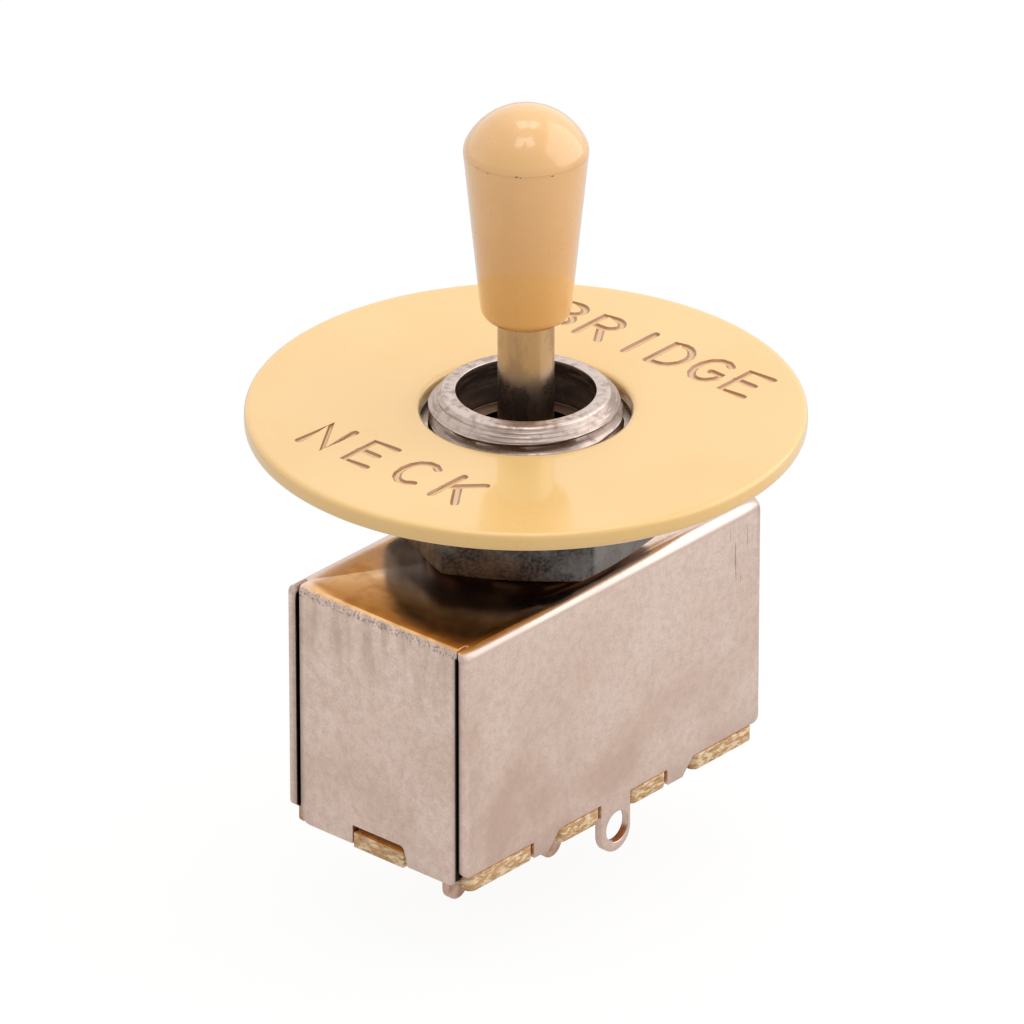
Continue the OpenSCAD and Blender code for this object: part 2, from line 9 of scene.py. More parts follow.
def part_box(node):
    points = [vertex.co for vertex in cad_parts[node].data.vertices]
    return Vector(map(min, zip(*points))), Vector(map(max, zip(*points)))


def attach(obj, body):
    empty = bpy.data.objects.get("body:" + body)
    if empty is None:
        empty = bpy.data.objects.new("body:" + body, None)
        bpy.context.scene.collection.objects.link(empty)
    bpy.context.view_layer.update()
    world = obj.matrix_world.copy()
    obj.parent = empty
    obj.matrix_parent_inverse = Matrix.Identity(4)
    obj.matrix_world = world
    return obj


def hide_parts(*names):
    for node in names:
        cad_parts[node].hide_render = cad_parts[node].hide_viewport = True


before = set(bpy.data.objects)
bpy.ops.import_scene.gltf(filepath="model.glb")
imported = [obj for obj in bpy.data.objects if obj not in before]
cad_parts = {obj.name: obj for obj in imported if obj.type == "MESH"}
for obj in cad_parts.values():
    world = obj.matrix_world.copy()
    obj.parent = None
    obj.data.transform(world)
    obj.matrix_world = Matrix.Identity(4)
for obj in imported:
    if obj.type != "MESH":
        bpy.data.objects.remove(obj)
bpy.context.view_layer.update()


# Camera
# It looks down on the near corner of the case from its left front, through a long lens. The place
# was worked out from the vertical edges, the disc's ellipse and the bushing's rim in the photograph.
MM = 0.001
AZIMUTH = math.radians(-48.5)
ELEVATION = math.radians(27.295)
DISTANCE = 754.8 * MM
AIM_RIGHT = -0.853 * MM
AIM_UP = 1.723 * MM
LENS = 430.5
SENSOR = 36

towards = Vector((math.sin(AZIMUTH) * math.cos(ELEVATION), -math.cos(AZIMUTH) * math.cos(ELEVATION),
                  math.sin(ELEVATION)))
rightwards = Vector((math.cos(AZIMUTH), math.sin(AZIMUTH), 0))
upwards = towards.cross(rightwards)
nearer = Vector((towards.x, towards.y, 0)).normalized()
camera = bpy.data.objects.new("camera", bpy.data.cameras.new("camera"))
camera.data.lens = LENS
camera.data.sensor_width = SENSOR
camera.matrix_world = Matrix.Translation(
    towards * DISTANCE + rightwards * AIM_RIGHT + upwards * AIM_UP
) @ Matrix((rightwards, upwards, towards)).transposed().to_4x4()
bpy.context.scene.collection.objects.link(camera)
bpy.context.scene.camera = camera
bpy.context.scene.view_settings.view_transform = "Standard"


# Floor
# A white sheet under the lugs. The camera sees it almost plain white with a trace of shadow left,
# polished metal sees it a little darker, and to everything else it is pale card.
SHARP_ANGLE = math.radians(38)


def add(tree, kind, values=None, **settings):
    """A shader node with its settings, its inputs filled with values or joined to other nodes."""
    new = tree.nodes.new(kind)
    for key, value in settings.items():
        setattr(new, key, value)
    for key, value in (values or {}).items():
        if isinstance(value, bpy.types.NodeSocket):
            tree.links.new(value, new.inputs[key])
        else:
            new.inputs[key].default_value = value
    return new


def srgb(red, green, blue):
    """A colour given as it looks on a screen, 0 to 255, as the renderer's own values."""
    return tuple((v / 255 / 12.92 if v < 10 else ((v / 255 + 0.055) / 1.055) ** 2.4)
                 for v in (red, green, blue)) + (1,)


def mesh_piece(name, bm, material, body):
    """Turns a finished bmesh into a piece that rides on a body."""
    mesh = bpy.data.meshes.new(name)
    bmesh.ops.recalc_face_normals(bm, faces=bm.faces)
    bm.to_mesh(mesh)
    bm.free()
    mesh.materials.append(material)
    piece = bpy.data.objects.new(name, mesh)
    bpy.context.scene.collection.objects.link(piece)
    for face in mesh.polygons:
        face.use_smooth = True
    mesh.set_sharp_from_angle(angle=SHARP_ANGLE)
    if body:
        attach(piece, body)
    return piece


FLOOR_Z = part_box("terminal_3")[0].z
FLOOR_HALF = 3.0
FLOOR_CARD = (0.60, 0.59, 0.58, 1)
SHARE_SEEN = 0.86
SHARE_MIRRORED = 0.62
GLOW_SEEN = 1.08
GLOW_MIRRORED = 0.86

floor_paint = bpy.data.materials.new("floor_card")
floor_paint.use_nodes = True
tree = floor_paint.node_tree
tree.nodes.clear()
ray = add(tree, "ShaderNodeLightPath")
seen = add(tree, "ShaderNodeMath", {0: ray.outputs["Is Camera Ray"], 1: SHARE_SEEN}, operation="MULTIPLY")
share = add(tree, "ShaderNodeMath",
            {0: ray.outputs["Is Glossy Ray"], 1: SHARE_MIRRORED, 2: seen.outputs[0]},
            operation="MULTIPLY_ADD")
level = add(tree, "ShaderNodeMapRange", {0: ray.outputs["Is Camera Ray"], 3: GLOW_MIRRORED, 4: GLOW_SEEN})
card = add(tree, "ShaderNodeBsdfDiffuse", {"Color": FLOOR_CARD})
glow = add(tree, "ShaderNodeEmission", {"Color": (1, 1, 1, 1), "Strength": level.outputs[0]})
both = add(tree, "ShaderNodeMixShader", {0: share.outputs[0], 1: card.outputs[0], 2: glow.outputs[0]})
add(tree, "ShaderNodeOutputMaterial", {"Surface": both.outputs[0]})

bm = bmesh.new()
bmesh.ops.create_grid(bm, x_segments=1, y_segments=1, size=FLOOR_HALF,
                      matrix=Matrix.Translation((0, 0, FLOOR_Z)))
floor = mesh_piece("floor", bm, floor_paint, None)


# Light
# A white tent whose camera side is dimmer, so the sides of round pieces are lighter than their
# middles. A broad pale panel stands on the right, and two weak pairs of panes overhead leave the
# two faint window marks on the knob's dome.
SKY_FAR = 0.84
SKY_NEAR = 0.56
SKY_FAR_END = -0.2
SKY_NEAR_END = 0.9
SKY_TINT = (1, 0.985, 0.96, 1)
MIRRORED_MORE = 0.28
PANEL_PLACE = (1.27, 0.75, -0.15)
PANEL_SIZE = (2.0, 1.6)
PANEL_RADIANCE = 1.1
FAR_PANES = (0.065, 1.42, -0.477)
FAR_PANE_SIZE = (0.32, 0.43)
FAR_PANE_APART = 0.19
NEAR_PANES = (-0.05, 1.44, 0.423)
NEAR_PANE_SIZE = (0.33, 0.45)
NEAR_PANE_APART = 0.195
PANE_RADIANCE = 2.0

sky = bpy.data.worlds.new("studio")
bpy.context.scene.world = sky
sky.use_nodes = True
tree = sky.node_tree
tree.nodes.clear()
ray = add(tree, "ShaderNodeLightPath")
facing = add(tree, "ShaderNodeVectorMath", {0: add(tree, "ShaderNodeTexCoord").outputs["Generated"],
                                            1: nearer}, operation="DOT_PRODUCT")
dimmed = add(tree, "ShaderNodeMapRange",
             {0: facing.outputs["Value"], 1: SKY_FAR_END, 2: SKY_NEAR_END, 3: SKY_FAR, 4: SKY_NEAR},
             interpolation_type="SMOOTHSTEP")
more = add(tree, "ShaderNodeMath", {0: ray.outputs["Is Glossy Ray"], 1: MIRRORED_MORE, 2: 1.0},
           operation="MULTIPLY_ADD")
level = add(tree, "ShaderNodeMath", {0: dimmed.outputs[0], 1: more.outputs[0]}, operation="MULTIPLY")
plain = add(tree, "ShaderNodeBackground", {"Color": SKY_TINT, "Strength": level.outputs[0]})
white = add(tree, "ShaderNodeBackground", {"Color": (1, 1, 1, 1), "Strength": 1.0})
both = add(tree, "ShaderNodeMixShader",
           {0: ray.outputs["Is Camera Ray"], 1: plain.outputs[0], 2: white.outputs[0]})
add(tree, "ShaderNodeOutputWorld", {"Surface": both.outputs[0]})


def softbox(name, place, size, radiance, aside=0.0):
    """A rectangular lamp aimed at the object, placed so far right, up and towards the camera."""
    lamp = bpy.data.lights.new(name, "AREA")
    lamp.shape = "RECTANGLE"
    lamp.size, lamp.size_y = size
    lamp.energy = radiance * math.pi * size[0] * size[1]
    holder = bpy.data.objects.new(name, lamp)
    spot = rightwards * (place[0] + aside) + Vector((0, 0, place[1])) + nearer * place[2]
    aimed = (-spot).to_track_quat("-Z", "Y").to_matrix().to_4x4()
    holder.matrix_world = Matrix.Translation(spot) @ aimed
    bpy.context.scene.collection.objects.link(holder)


softbox("right_panel", PANEL_PLACE, PANEL_SIZE, PANEL_RADIANCE)
for side in (-1, 1):
    softbox("far_pane", FAR_PANES, FAR_PANE_SIZE, PANE_RADIANCE, side * FAR_PANE_APART)
    softbox("near_pane", NEAR_PANES, NEAR_PANE_SIZE, PANE_RADIANCE, side * NEAR_PANE_APART)


# Case
# One blank of brass sheet, folded on all four sides and nickel plated. The top still shines like a
# mirror, the sides have dulled to a warm satin grey, and the press tool has torn the plating along
# the two short bends.
def group(name, inputs, outputs=("Mask",)):
    """An empty shader node group with its named sockets; returns the tree and its two ends."""
    made = bpy.data.node_groups.new(name, "ShaderNodeTree")
    for label, value in inputs.items():
        kind = "NodeSocketVector" if isinstance(value, tuple) else "NodeSocketFloat"
        made.interface.new_socket(label, in_out="INPUT", socket_type=kind).default_value = value
    for label in outputs:
        made.interface.new_socket(label, in_out="OUTPUT", socket_type="NodeSocketFloat")
    return made, made.nodes.new("NodeGroupInput").outputs, made.nodes.new("NodeGroupOutput").inputs


def where(tree):
    """A point of the object in millimetres."""
    return add(tree, "ShaderNodeVectorMath", {0: add(tree, "ShaderNodeTexCoord").outputs["Object"],
                                              1: (1000, 1000, 1000)}, operation="MULTIPLY").outputs[0]


def maths(tree, kind, *values):
    """A sum of two or three values, by the name of its operation."""
    return add(tree, "ShaderNodeMath", dict(enumerate(values)), operation=kind).outputs[0]


def ramp(tree, value, low, high, to_low=0.0, to_high=1.0):
    """One value below low and another above high, with a smooth step between."""
    return add(tree, "ShaderNodeMapRange", {0: value, 1: low, 2: high, 3: to_low, 4: to_high},
               interpolation_type="SMOOTHSTEP").outputs[0]


def cloudy(tree, point, scale, seed, detail):
    """Soft noise about one half."""
    return add(tree, "ShaderNodeTexNoise", {"Vector": point, "W": seed, "Scale": scale, "Detail": detail},
               noise_dimensions="4D").outputs[0]


# Soft patches, long scratches, scattered specks and a band between two values are each one group.
patches, given, out = group("soft_patches", {"Size": 3.0, "Low": 0.4, "High": 0.6, "Seed": 0.0,
                                             "Stretch": (1.0, 1.0, 1.0)})
drawn = add(patches, "ShaderNodeVectorMath", {0: where(patches), 1: given["Stretch"]},
            operation="MULTIPLY")
cloud = cloudy(patches, drawn.outputs[0], maths(patches, "DIVIDE", 1.0, given["Size"]),
               given["Seed"], 4.0)
patches.links.new(ramp(patches, cloud, given["Low"], given["High"]), out["Mask"])

scratches, given, out = group("scratches", {"Spacing": 0.3, "Stretch": (1.0, 1.0, 0.05), "Amount": 0.3,
                                            "Seed": 0.0}, ("Mask", "Height"))
drawn = add(scratches, "ShaderNodeVectorMath", {0: where(scratches), 1: given["Stretch"]},
            operation="MULTIPLY")
lines = cloudy(scratches, drawn.outputs[0], maths(scratches, "DIVIDE", 1.0, given["Spacing"]),
               given["Seed"], 2.0)
start = add(scratches, "ShaderNodeMapRange", {0: given["Amount"], 3: 0.75, 4: 0.4}).outputs[0]
scratches.links.new(ramp(scratches, lines, start, maths(scratches, "ADD", start, 0.08)), out["Mask"])
scratches.links.new(lines, out["Height"])

specks, given, out = group("specks", {"Size": 0.5, "Amount": 0.1, "Seed": 0.0})
cells = add(specks, "ShaderNodeTexVoronoi", {"Vector": where(specks), "W": given["Seed"],
                                             "Scale": maths(specks, "DIVIDE", 1.0, given["Size"])},
            voronoi_dimensions="4D")
uneven = maths(specks, "MULTIPLY_ADD", cloudy(specks, where(specks), 4.0, given["Seed"], 3.0), 0.35,
               cells.outputs["Distance"])
limit = maths(specks, "ADD", given["Amount"], 0.17)
specks.links.new(ramp(specks, uneven, limit, maths(specks, "ADD", limit, 0.07), 1.0, 0.0), out["Mask"])

band, given, out = group("band", {"Value": 0.0, "Low": 0.0, "High": 1.0, "Soft": 0.1})
rise = ramp(band, given["Value"], maths(band, "SUBTRACT", given["Low"], given["Soft"]), given["Low"])
fall = ramp(band, given["Value"], given["High"], maths(band, "ADD", given["High"], given["Soft"]),
            1.0, 0.0)
band.links.new(maths(band, "MULTIPLY", rise, fall), out["Mask"])


def paint(name, **sockets):
    """A material with one Principled shader and its fixed values."""
    made = bpy.data.materials.new(name)
    made.use_nodes = True
    made.node_tree.nodes.clear()
    shader = add(made.node_tree, "ShaderNodeBsdfPrincipled")
    for label, value in sockets.items():
        shader.inputs[label.replace("_", " ")].default_value = value
    add(made.node_tree, "ShaderNodeOutputMaterial", {"Surface": shader.outputs[0]})
    return made, made.node_tree, shader.inputs


def effect(tree, kind, socket="Mask", **values):
    """What one of the groups gives, placed in a material."""
    return add(tree, "ShaderNodeGroup", values, node_tree=kind).outputs[socket]


def blend(tree, share, first, second):
    """A colour that runs from the first to the second."""
    return add(tree, "ShaderNodeMix", {0: share, 6: first, 7: second}, data_type="RGBA").outputs[2]


def bump(tree, height, depth, strength, below=None):
    """A normal from a height between 0 and 1, of a true depth in millimetres."""
    made = add(tree, "ShaderNodeBump", {"Height": height, "Distance": depth * MM, "Strength": strength})
    if below:
        tree.links.new(below, made.inputs["Normal"])
    return made.outputs[0]


def axes(tree):
    """X, Y, Z and the distance from the upright axis, in millimetres."""
    point = where(tree)
    split = add(tree, "ShaderNodeSeparateXYZ", {0: point}).outputs
    flat = add(tree, "ShaderNodeVectorMath", {0: point, 1: (1, 1, 0)}, operation="MULTIPLY")
    reach = add(tree, "ShaderNodeVectorMath", {0: flat.outputs[0]}, operation="LENGTH")
    return split[0], split[1], split[2], reach.outputs["Value"]


def softened(node, name, material, body, radius, angle=32, segments=2):
    """A copy of a solid with its sharp edges broken by a small radius, which stands for it."""
    bm = bmesh.new()
    bm.from_mesh(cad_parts[node].data)
    bmesh.ops.remove_doubles(bm, verts=bm.verts, dist=2e-6)
    bmesh.ops.dissolve_limit(bm, angle_limit=math.radians(0.6), verts=bm.verts, edges=bm.edges)
    sharp = [e for e in bm.edges if e.is_manifold and e.calc_face_angle(0) > math.radians(angle)]
    bmesh.ops.bevel(bm, geom=sharp, offset=radius * MM, segments=segments, profile=0.5, affect="EDGES",
                    clamp_overlap=True)
    piece = mesh_piece(name, bm, material, body)
    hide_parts(node)
    return piece


HOUSING = "housing"
CASE_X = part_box("case")[1].x / MM
CASE_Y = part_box("case")[1].y / MM
SHEET = 0.55
WALL = CASE_Y - SHEET
SLIT = 0.25
TOP_FROM = -0.25
TOP_FULL = -0.05
ROLL_W = 1.7
ROLL_LEAN = 0.36
EDGE_BREAK = 0.05
NICKEL = srgb(246, 224, 211)
NICKEL_DULL_SHADE = srgb(222, 194, 178)
NICKEL_GRAIN = srgb(204, 176, 160)
NICKEL_GOLD_REFLECTION = srgb(244, 196, 138)
NICKEL_TARNISH = srgb(204, 146, 86)
NICKEL_STREAK = srgb(182, 160, 138)
NICKEL_RUBBED = srgb(216, 194, 184)
NICKEL_TORN = srgb(150, 124, 128)
INSIDE_SHADE_BROWN = srgb(70, 56, 48)
RUST_AND_SLIT_SHADE_BLACK = srgb(22, 17, 14)

case_plate, tree, shader = paint("case_plate", Metallic=1.0)
x, y, z, reach = axes(tree)
across = maths(tree, "ABSOLUTE", x)
aside = maths(tree, "ABSOLUTE", y)
# The satin sides: cloudy dull patches, stronger below, painted shade darkening them towards the lower
# left, and a fine grain
cloud_marks = effect(tree, patches, Size=4.5, Low=0.35, High=0.65, Seed=1.3)
grain = effect(tree, patches, Size=0.13, Low=0.35, High=0.65, Seed=4.1)
blotch = effect(tree, patches, Size=0.6, Low=0.4, High=0.65, Seed=4.7)
height = maths(tree, "MULTIPLY_ADD", x, 0.3, z)
dull_patches_and_shade = maths(tree, "MULTIPLY", cloud_marks, ramp(tree, height, -15.0, -1.0, 0.9, 0.3))
# Painted shade: the sides darken towards the lower left
dull_patches_and_shade = maths(tree, "ADD", dull_patches_and_shade, ramp(tree, height, -18.0, -4.0, 0.35, 0.0))
on_end = ramp(tree, across, CASE_X - 0.4, CASE_X - 0.3)
dull_patches_and_shade = maths(tree, "MULTIPLY", dull_patches_and_shade, maths(tree, "MULTIPLY_ADD", on_end, -0.5, 1.0))
tint = blend(tree, dull_patches_and_shade, NICKEL, NICKEL_DULL_SHADE)
uneven = maths(tree, "MULTIPLY_ADD", grain, 0.28, maths(tree, "MULTIPLY", blotch, 0.22))
uneven = maths(tree, "MULTIPLY", uneven, maths(tree, "MULTIPLY_ADD", on_end, 0.2, 1.0))
tint = blend(tree, uneven, tint, NICKEL_GRAIN)
# Runs of stain under the bends of the end flaps
drips = effect(tree, patches, Size=0.9, Low=0.42, High=0.72, Seed=8.3, Stretch=(1, 1, 0.2))
drips = maths(tree, "MULTIPLY", drips, on_end)
drips = maths(tree, "MULTIPLY", drips, ramp(tree, z, -8.0, -1.5, 0.0, 0.5))
tint = blend(tree, drips, tint, NICKEL_STREAK)
flecks = effect(tree, specks, Size=1.3, Amount=0.0, Seed=3.0)
tint = blend(tree, maths(tree, "MULTIPLY", flecks, 0.6), tint, NICKEL_TORN)
# Torn plating along those bends
torn = effect(tree, patches, Size=0.13, Low=0.5, High=0.6, Seed=6.0, Stretch=(1, 1, 0.7))
at_bend = effect(tree, band, Value=z, Low=-0.65, High=-0.2, Soft=0.15)
torn = maths(tree, "MULTIPLY", torn, maths(tree, "MULTIPLY", at_bend, on_end))
tint = blend(tree, maths(tree, "MULTIPLY", torn, 0.75), tint, NICKEL_TORN)
# Short drags down the far end of the earthed flap
dragged = effect(tree, scratches, Spacing=0.2, Stretch=(1, 1, 0.05), Amount=0.5, Seed=9.4)
dragged = maths(tree, "MULTIPLY", dragged, effect(tree, band, Value=x, Low=10.8, High=12.6, Soft=0.3))
dragged = maths(tree, "MULTIPLY", dragged, effect(tree, band, Value=z, Low=-4.5, High=-1.5, Soft=0.8))
dragged = maths(tree, "MULTIPLY", dragged, ramp(tree, y, 0.0, -1.0, 0.0, 0.7))
tint = blend(tree, dragged, tint, NICKEL_TORN)
# Plating rubbed dull along the long bends
rubbed = maths(tree, "MULTIPLY", ramp(tree, z, -0.9, -0.5),
               ramp(tree, aside, CASE_Y - 1.0, CASE_Y - 0.5, 0.0, 0.95))
tint = blend(tree, rubbed, tint, NICKEL_RUBBED)
# The mirror-bright top, with a painted reflection at its left half: a gold tint that deepens the mirrored
# cream of the disc's underside, mottled with tarnish
on_top = ramp(tree, z, TOP_FROM, TOP_FULL)
gold_reflection = maths(tree, "MULTIPLY", on_top, ramp(tree, x, 6.0, -8.0))
gold_reflection = maths(tree, "MULTIPLY", gold_reflection, ramp(tree, y, CASE_Y - 0.5, CASE_Y - 2.4))
gold_reflection = maths(tree, "MULTIPLY", gold_reflection, ramp(tree, reach, 8.5, 11.0, 0.25, 1.0))
tarnish = effect(tree, patches, Size=1.3, Low=0.42, High=0.68, Seed=15.0)
reflection_and_tarnish = blend(tree, maths(tree, "MULTIPLY", tarnish, 0.6), NICKEL_GOLD_REFLECTION, NICKEL_TARNISH)
tint = blend(tree, gold_reflection, tint, reflection_and_tarnish)
# Rust specks, only where the gold tint lies
rust = effect(tree, specks, Size=0.9, Amount=0.04, Seed=18.0)
tint = blend(tree, maths(tree, "MULTIPLY", rust, maths(tree, "MULTIPLY", gold_reflection, 0.6)), tint, RUST_AND_SLIT_SHADE_BLACK)
# Painted shade: the inside faces darker brown, the slits at the corners black, and the edges beside the
# slits darkened
in_x = ramp(tree, across, CASE_X - SHEET + 0.1, CASE_X - SHEET)
in_y = ramp(tree, aside, CASE_Y - SHEET + 0.1, CASE_Y - SHEET)
inside_shade = maths(tree, "MULTIPLY", in_x, in_y)
inside_shade = maths(tree, "MULTIPLY", inside_shade, ramp(tree, z, -SHEET + 0.05, -SHEET))
tint = blend(tree, inside_shade, tint, INSIDE_SHADE_BROWN)
# Painted shade: black in the corner slits
near_slit = effect(tree, band, Value=y, Low=-WALL - 0.02, High=-WALL + SLIT + 0.05, Soft=0.12)
near_slit = maths(tree, "MULTIPLY", near_slit, ramp(tree, across, CASE_X - SHEET - 0.1, CASE_X - SHEET))
far_slit = effect(tree, band, Value=y, Low=WALL - SLIT + 0.02, High=WALL + 0.02, Soft=0.08)
far_slit = maths(tree, "MULTIPLY", far_slit, ramp(tree, across, CASE_X, CASE_X - 0.2))
slit_shade = maths(tree, "MULTIPLY", maths(tree, "MAXIMUM", near_slit, far_slit), ramp(tree, z, -0.5, -0.7))
tint = blend(tree, slit_shade, tint, RUST_AND_SLIT_SHADE_BLACK)
# Painted shade on the edges beside the slits
shade_beside_slits = maths(tree, "MULTIPLY", effect(tree, band, Value=aside, Low=WALL - SLIT, High=WALL, Soft=0.45),
               ramp(tree, across, CASE_X - 0.5, CASE_X - 0.1, 0.0, 0.4))
tint = blend(tree, maths(tree, "MULTIPLY", shade_beside_slits, ramp(tree, z, -0.3, -0.9)), tint, INSIDE_SHADE_BROWN)
tree.links.new(tint, shader["Base Color"])
polished = ramp(tree, z, -0.6, 0.05)
dull = ramp(tree, cloud_marks, 0.0, 1.0, 0.34, 0.42)
tree.links.new(maths(tree, "MULTIPLY_ADD", polished, -0.15, dull), shader["Roughness"])
# The shading normal leans before each bend, so the sheet looks as if it rolled over softly there
drawn = effect(tree, scratches, "Height", Spacing=0.25, Stretch=(1, 1, 0.04), Amount=0.35, Seed=2.0)
normal = add(tree, "ShaderNodeNewGeometry").outputs["Normal"]
near_bend = ramp(tree, z, -1.2, -0.3, 0.0, ROLL_LEAN)
leans = []
for place, distance, edge in ((x, across, CASE_X), (y, aside, CASE_Y)):
    nearness = add(tree, "ShaderNodeMapRange", {0: distance, 1: edge - ROLL_W, 2: edge}).outputs[0]
    nearness = maths(tree, "MULTIPLY", maths(tree, "POWER", nearness, 2.0), near_bend)
    leans.append(maths(tree, "MULTIPLY", nearness, maths(tree, "SIGN", place)))
rise = maths(tree, "POWER", add(tree, "ShaderNodeMapRange", {0: z, 1: -ROLL_W, 2: 0.0}).outputs[0], 2.0)
rise = maths(tree, "MULTIPLY", rise, ramp(tree, aside, CASE_Y - 1.0, CASE_Y - 0.3, 0.0, ROLL_LEAN))
lean = add(tree, "ShaderNodeCombineXYZ", {0: leans[0], 1: leans[1], 2: rise}).outputs[0]
leaning = add(tree, "ShaderNodeVectorMath", {0: normal, 1: lean}, operation="ADD").outputs[0]
rolled = add(tree, "ShaderNodeVectorMath", {0: leaning}, operation="NORMALIZE").outputs[0]
rolled = bump(tree, drawn, 0.01, ramp(tree, z, -0.6, -0.1, 0.3, 0.05), rolled)
tree.links.new(bump(tree, torn, 0.04, 0.5, rolled), shader["Normal"])
softened("case", "folded_case", case_plate, HOUSING, EDGE_BREAK)


# Bushing
# Turned from brass bar, threaded outside and bored in two steps, then plated. The bevel at its rim
# keeps the ridges of the tool, the thread runs out through it, and the bore is dark with grime.
THREAD_R = 6.0
THREAD_PITCH = 1.0
THREAD_DEPTH = 0.55
THREAD_PHASE = 0.42
BUSHING_TOP = 10.4
RIM_R = 5.1
BEVEL_H = 1.0
BEVEL_SLOPE = 1.05
GROOVE_LOW = 9.1
GROOVE_HIGH = 9.35
MOUTH_R = 4.33
MOUTH_DEPTH = 2.9
BORE_R = 3.35
FLANGE_R = 6.4
NECK_R = 5.5
NECK_H = 0.55
TOOL_RIDGE = 0.2
RIDGE_DEPTH = 0.045
BUSHING_PLATE = srgb(214, 198, 190)
BUSHING_DULL = srgb(164, 144, 134)
BUSHING_BEVEL = srgb(150, 132, 124)
GRIME_AND_SHADE = srgb(92, 70, 54)


def thread_radius(r, z, turn):
    """The radius on the thread's outside at a height, after part of a turn."""
    phase = (z / THREAD_PITCH - turn + THREAD_PHASE) % 1.0
    flank = abs(phase - 0.5) * 2
    cut = THREAD_R - THREAD_DEPTH * min(1.0, max(0.0, flank * 1.3 - 0.15))
    ridge = RIDGE_DEPTH * (0.5 + 0.5 * math.cos(2 * math.pi * z / TOOL_RIDGE)) ** 2
    bevel = RIM_R + (BUSHING_TOP - z) * BEVEL_SLOPE - ridge
    return min(cut, bevel, r) if r > THREAD_R - 0.001 and z > 0.01 else r


def lathe(profile, turns=144, shape=None, closed=True):
    """A body of revolution from (radius, height) points; shape(r, z, turn) may change a radius."""
    bm = bmesh.new()
    rings = []
    for r, z in profile:
        if r < 1e-6:
            rings.append([bm.verts.new((0, 0, z * MM))] * turns)
            continue
        ring = []
        for i in range(turns):
            a = 2 * math.pi * i / turns
            reach = shape(r, z, i / turns) if shape else r
            ring.append(bm.verts.new((reach * math.cos(a) * MM, reach * math.sin(a) * MM, z * MM)))
        rings.append(ring)
    pairs = list(zip(rings, rings[1:] + rings[:1])) if closed else list(zip(rings, rings[1:]))
    for low, high in pairs:
        for i in range(turns):
            j = (i + 1) % turns
            corners = [low[i], low[j], high[j], high[i]]
            corners = [v for n, v in enumerate(corners) if v not in corners[:n]]
            if len(corners) > 2:
                bm.faces.new(corners)
    return bm


def rounded(points, radius, steps=3):
    """A profile with its corners rounded off."""
    out = []
    for i, (x, y) in enumerate(points):
        before, after = Vector(points[i - 1]), Vector(points[(i + 1) % len(points)])
        here = Vector((x, y))
        one, two = (before - here), (after - here)
        reach = min(radius, one.length * 0.45, two.length * 0.45)
        a, b = here + one.normalized() * reach, here + two.normalized() * reach
        for k in range(steps + 1):
            t = k / steps
            out.append(tuple(a * (1 - t) ** 2 + here * 2 * t * (1 - t) + b * t ** 2))
    return out


flange_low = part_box("bushing")[0].z / MM
inner = rounded([(BORE_R, flange_low), (FLANGE_R, flange_low), (FLANGE_R, -NECK_H), (NECK_R, -NECK_H),
                 (NECK_R, 0.0)], 0.05)
inner = inner[:-4] + [(NECK_R, 0.0)]
bevel_low = BUSHING_TOP - BEVEL_H
outer_wall = [(THREAD_R, 0.02 + (bevel_low - 0.02) * k / 100) for k in range(100)]
outer_wall += [(THREAD_R, bevel_low + 0.99 * k / 44) for k in range(45)]
ledge_z = BUSHING_TOP - MOUTH_DEPTH
mouth = rounded([(RIM_R - 0.05, BUSHING_TOP), (MOUTH_R, BUSHING_TOP), (MOUTH_R, ledge_z),
                 (BORE_R, ledge_z), (BORE_R, flange_low)], 0.06)[4:-4]

bushing_metal, tree, shader = paint("bushing_metal", Metallic=1.0)
x, y, z, reach = axes(tree)
wear = effect(tree, patches, Size=0.45, Low=0.42, High=0.75, Seed=7.0)
tint = blend(tree, wear, BUSHING_PLATE, BUSHING_DULL)
lines = effect(tree, scratches, Spacing=0.14, Stretch=(0.04, 0.04, 1.0), Amount=0.75, Seed=2.0)
on_bevel = ramp(tree, reach, RIM_R + 0.02, RIM_R + 0.2, 0.0, 0.9)
darker = maths(tree, "MULTIPLY", on_bevel, ramp(tree, lines, 0.0, 1.0, 0.5, 1.0))
tint = blend(tree, darker, tint, BUSHING_BEVEL)
# Painted shade in the groove under the bevel
groove_shade = effect(tree, band, Value=z, Low=GROOVE_LOW, High=GROOVE_HIGH, Soft=0.12)
groove_shade = maths(tree, "MULTIPLY", groove_shade, maths(tree, "MULTIPLY", on_bevel, 0.6))
tint = blend(tree, groove_shade, tint, GRIME_AND_SHADE)
in_bore = ramp(tree, reach, MOUTH_R + 0.03, MOUTH_R - 0.01)
below_rim = ramp(tree, z, BUSHING_TOP - 0.05, BUSHING_TOP - 0.35)
on_ledge = effect(tree, band, Value=z, Low=ledge_z - 0.05, High=ledge_z + 0.1, Soft=0.1)
grime_and_shade = maths(tree, "MULTIPLY", in_bore, below_rim)
grime_and_shade = maths(tree, "MULTIPLY", grime_and_shade, maths(tree, "MULTIPLY_ADD", on_ledge, -0.8, 1.0))
scraped = effect(tree, patches, Size=0.7, Low=0.46, High=0.62, Seed=5.0, Stretch=(0.3, 0.3, 3.0))
grime_and_shade = maths(tree, "MULTIPLY", grime_and_shade, ramp(tree, scraped, 0.0, 1.0, 1.0, 0.3))
grime_and_shade = maths(tree, "MULTIPLY", grime_and_shade, ramp(tree, z, 8.6, 9.8, 0.15, 1.0))
